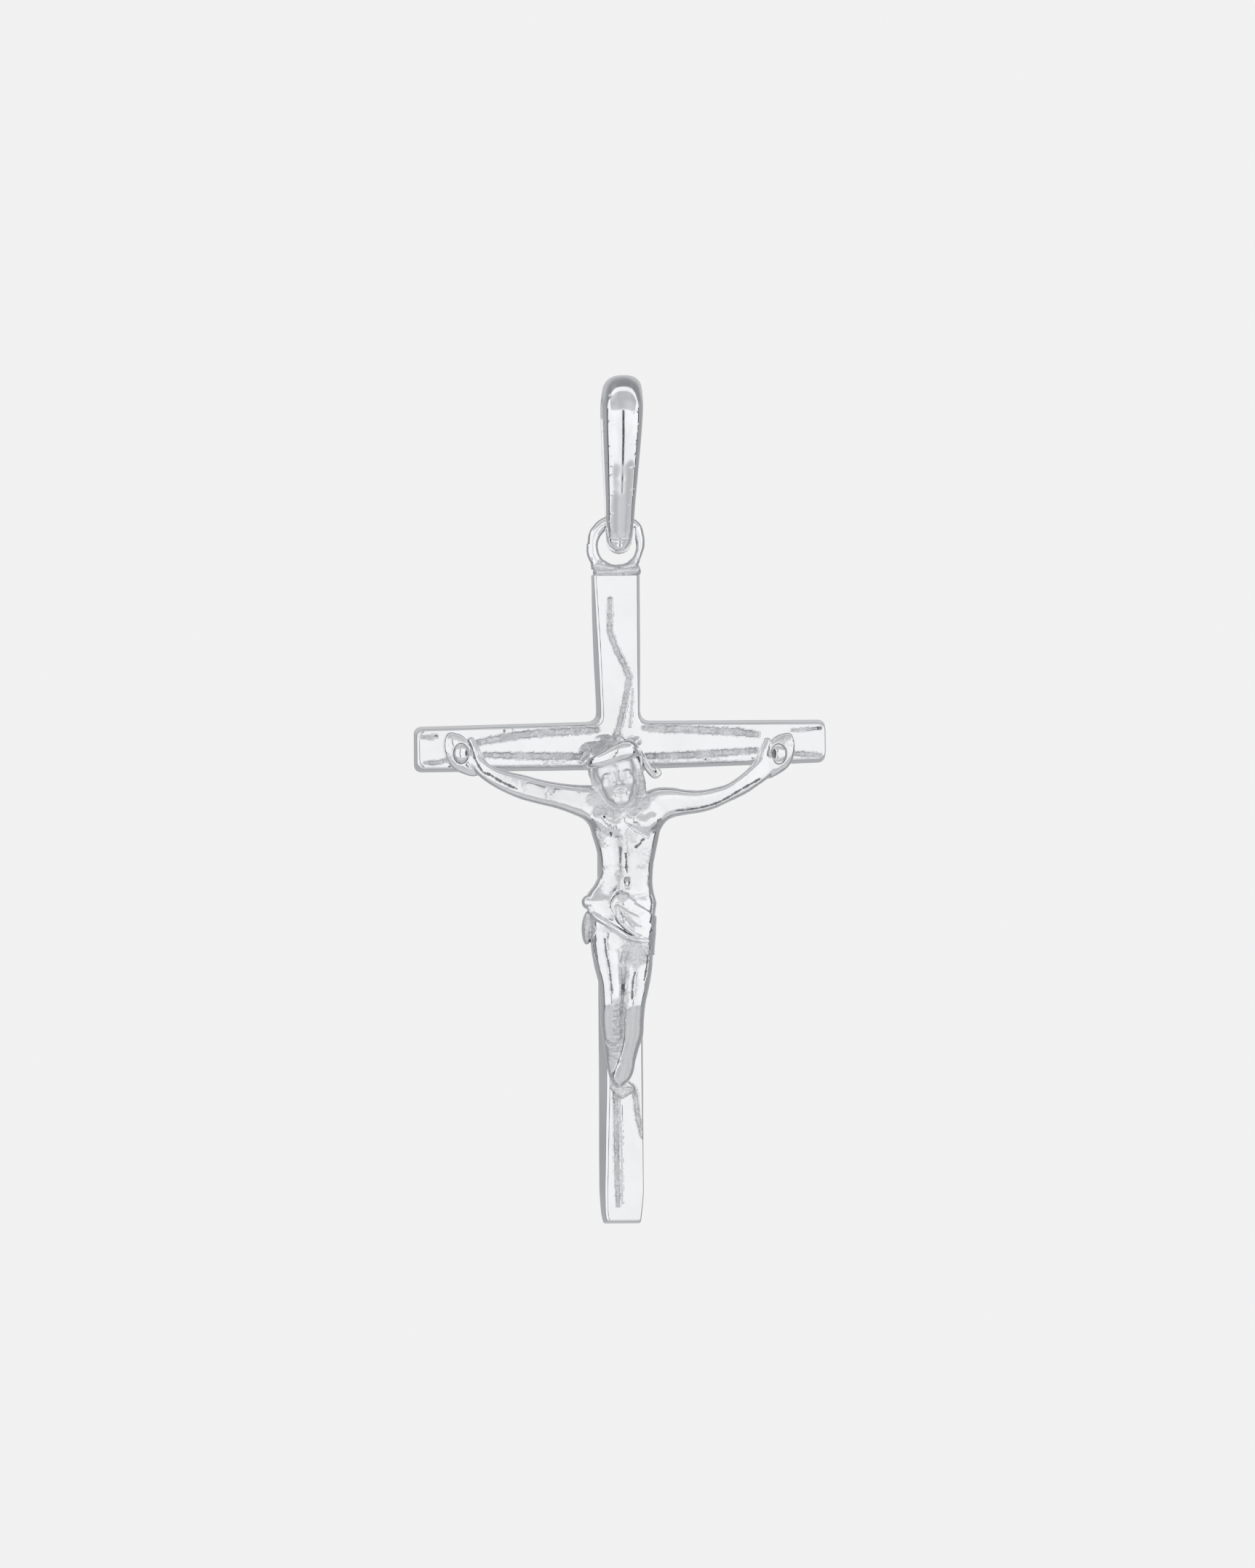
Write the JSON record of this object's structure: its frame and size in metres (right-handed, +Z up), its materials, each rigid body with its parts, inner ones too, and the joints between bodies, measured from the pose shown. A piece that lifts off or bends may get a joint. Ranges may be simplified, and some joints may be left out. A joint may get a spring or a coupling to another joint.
{
  "type": "crucifix pendant",
  "caption": "Cast silver cross with a pinned figure, hanging by an eye from a looped strap bail that swings on it.",
  "frame": {"origin": "the chain seat: the middle of the inside of the bail's top, where the chain bears", "axes": "+Z up along the post, -Y towards the viewer of the figure, +X to that viewer's right"},
  "size_m": [0.0234, 0.0068, 0.048],
  "materials": {
    "polished_silver": "polished",
    "cast_silver": "gloss",
    "solder_silver": "satin"
  },
  "bodies": {
    "bail": {"bail_strap": "polished_silver", "bail_tip_solder": "solder_silver"},
    "pendant": {"cross": "polished_silver", "suspension_ring": "polished_silver", "ring_solder_seam": "solder_silver", "corpus": "cast_silver", "left_hand_nail": "polished_silver", "right_hand_nail": "polished_silver", "left_hand_solder": "solder_silver", "right_hand_solder": "solder_silver", "hip_solder": "solder_silver", "foot_solder": "solder_silver"}
  },
  "joints": [
    {"name": "bail_swing", "type": "hinge", "parent": "bail", "child": "pendant", "pos_m": [-0.00019, 0, -0.00708], "axis": [1, 0, 0], "range_deg": [-120, 118]}
  ]
}
